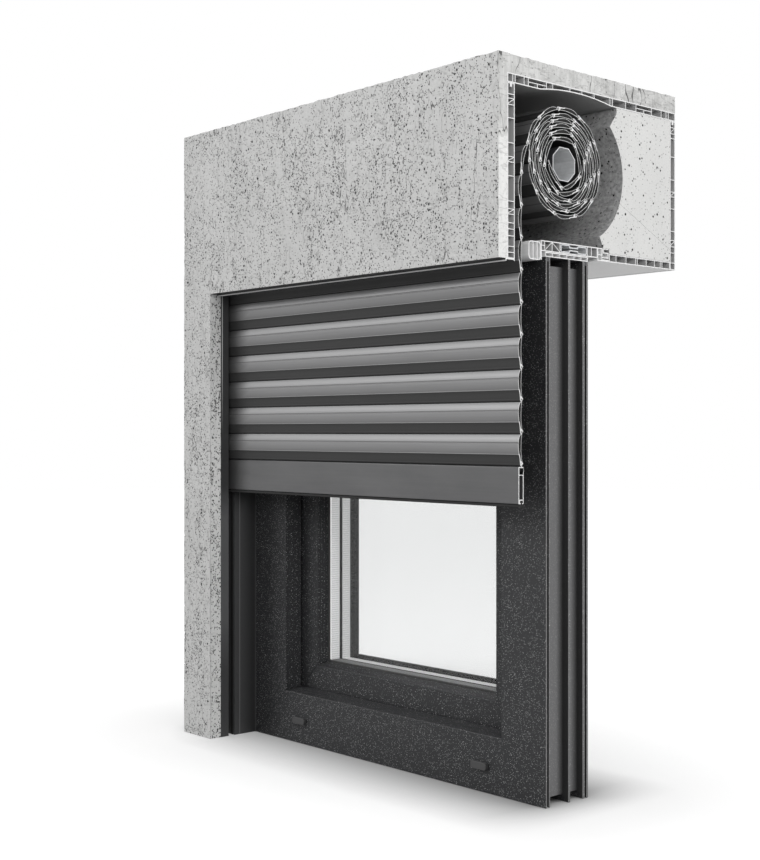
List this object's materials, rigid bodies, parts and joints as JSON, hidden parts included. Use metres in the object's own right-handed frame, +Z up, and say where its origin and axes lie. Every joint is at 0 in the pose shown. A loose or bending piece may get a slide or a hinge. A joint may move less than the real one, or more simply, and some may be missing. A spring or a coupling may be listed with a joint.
{
  "type": "exterior roller shutter",
  "caption": "Roller shutter with its plastered box cut open: slat curtain winding on an octagonal roller, guide rail, bottom bar and the hinged window behind it.",
  "frame": {"origin": "middle of the base, on the sill plane under the middle of the box's plan", "axes": "+Z up, +X along the facade towards the cut end, +Y from the facade into the room"},
  "size_m": [0.64, 0.331, 0.879],
  "materials": {
    "render": null,
    "white_pvc": "white rigid PVC",
    "foam": null,
    "steel": "galvanised",
    "fitting": "satin anodised",
    "drive": "dark housing",
    "adapter_plastic": "moulded",
    "slat": "satin coated",
    "seal": "matt",
    "rail": "satin dark coating",
    "anthracite": "fine metallic foil",
    "glass": "clear",
    "spacer": "mill"
  },
  "bodies": {
    "base": {"facade_plaster": "render", "top_mortar": "render", "edge_bead": "white_pvc", "box_front_profile": "white_pvc", "box_top_profile": "white_pvc", "box_back_profile": "white_pvc", "inspection_cover": "white_pvc", "insulation_main": "foam", "insulation_wedge": "foam", "adapter_profile": "white_pvc", "roll_off_profile": "white_pvc", "steel_strip": "steel", "clip_rail": "white_pvc", "lock_profile": "white_pvc", "end_cap": "white_pvc", "drive_bracket": "steel", "tubular_drive": "drive", "guide_rail": "rail", "rail_brushes": "seal", "rail_screws": "steel", "frame_extension": "anthracite", "frame_left": "anthracite", "frame_right": "anthracite", "frame_top": "anthracite", "frame_bottom": "anthracite", "drain_caps": "anthracite", "frame_gasket": "seal", "hinge_frame_leaves": "fitting"},
    "roller": {"tube_adapters": "adapter_plastic", "roller_tube": "steel", "hanger_straps": "steel", "wound_slats": "slat"},
    "curtain": {"slat_1": "slat", "slat_2": "slat", "slat_3": "slat", "slat_4": "slat", "slat_5": "slat", "slat_6": "slat", "slat_7": "slat", "slat_8": "slat", "slat_9": "slat", "bottom_bar": "slat", "bottom_seal": "seal"},
    "feed_1": {"feed_slat_1": "slat"},
    "feed_2": {"feed_slat_2": "slat"},
    "feed_3": {"feed_slat_3": "slat"},
    "feed_4": {"feed_slat_4": "slat"},
    "sash": {"sash_left": "anthracite", "sash_right": "anthracite", "sash_top": "anthracite", "sash_bottom": "anthracite", "glass_panes": "glass", "glass_spacers": "spacer", "glazing_beads": "anthracite", "glazing_gasket": "seal", "hinge_sash_leaves": "fitting", "handle_rosette": "fitting"},
    "handle": {"handle_lever": "fitting"}
  },
  "joints": [
    {"name": "curtain_travel", "type": "slide", "parent": "base", "child": "curtain", "axis": [0, 0, -1], "range_m": [0, 0.1125]},
    {"name": "shaft_turn", "type": "hinge", "parent": "base", "child": "roller", "pos_m": [0, -0.0525, 0.7628], "axis": [1, 0, 0], "range_deg": [0, 99.49], "deforming": ["wound_slats"]},
    {"name": "feed_1_hook", "type": "hinge", "parent": "curtain", "child": "feed_1", "pos_m": [0, -0.1265, 0.7435], "axis": [1, 0, 0], "range_deg": [0, 16.2]},
    {"name": "feed_2_hook", "type": "hinge", "parent": "feed_1", "child": "feed_2", "pos_m": [0, -0.11604, 0.77951], "axis": [1, 0, 0], "range_deg": [0, 15.12]},
    {"name": "feed_3_hook", "type": "hinge", "parent": "feed_2", "child": "feed_3", "pos_m": [0, -0.09655, 0.81155], "axis": [1, 0, 0], "range_deg": [0, 33.16]},
    {"name": "feed_4_hook", "type": "hinge", "parent": "feed_3", "child": "feed_4", "pos_m": [0, -0.0627, 0.8277], "axis": [1, 0, 0], "range_deg": [0, 16.97]},
    {"name": "sash_turn", "type": "hinge", "parent": "base", "child": "sash", "pos_m": [-0.21, 0.0265, 0.325], "axis": [0, 0, 1], "range_deg": [0, 90]},
    {"name": "handle_turn", "type": "hinge", "parent": "sash", "child": "handle", "pos_m": [0.238, 0.0405, 0.325], "axis": [0, 1, 0], "range_deg": [0, 90]}
  ],
  "couplings": [
    {"joint": "shaft_turn", "follows": "curtain_travel", "rad_per_m": 15.435},
    {"joint": "feed_1_hook", "follows": "curtain_travel", "rad_per_m": 2.513},
    {"joint": "feed_2_hook", "follows": "curtain_travel", "rad_per_m": 2.3457},
    {"joint": "feed_3_hook", "follows": "curtain_travel", "rad_per_m": 5.1451},
    {"joint": "feed_4_hook", "follows": "curtain_travel", "rad_per_m": 2.6321}
  ]
}
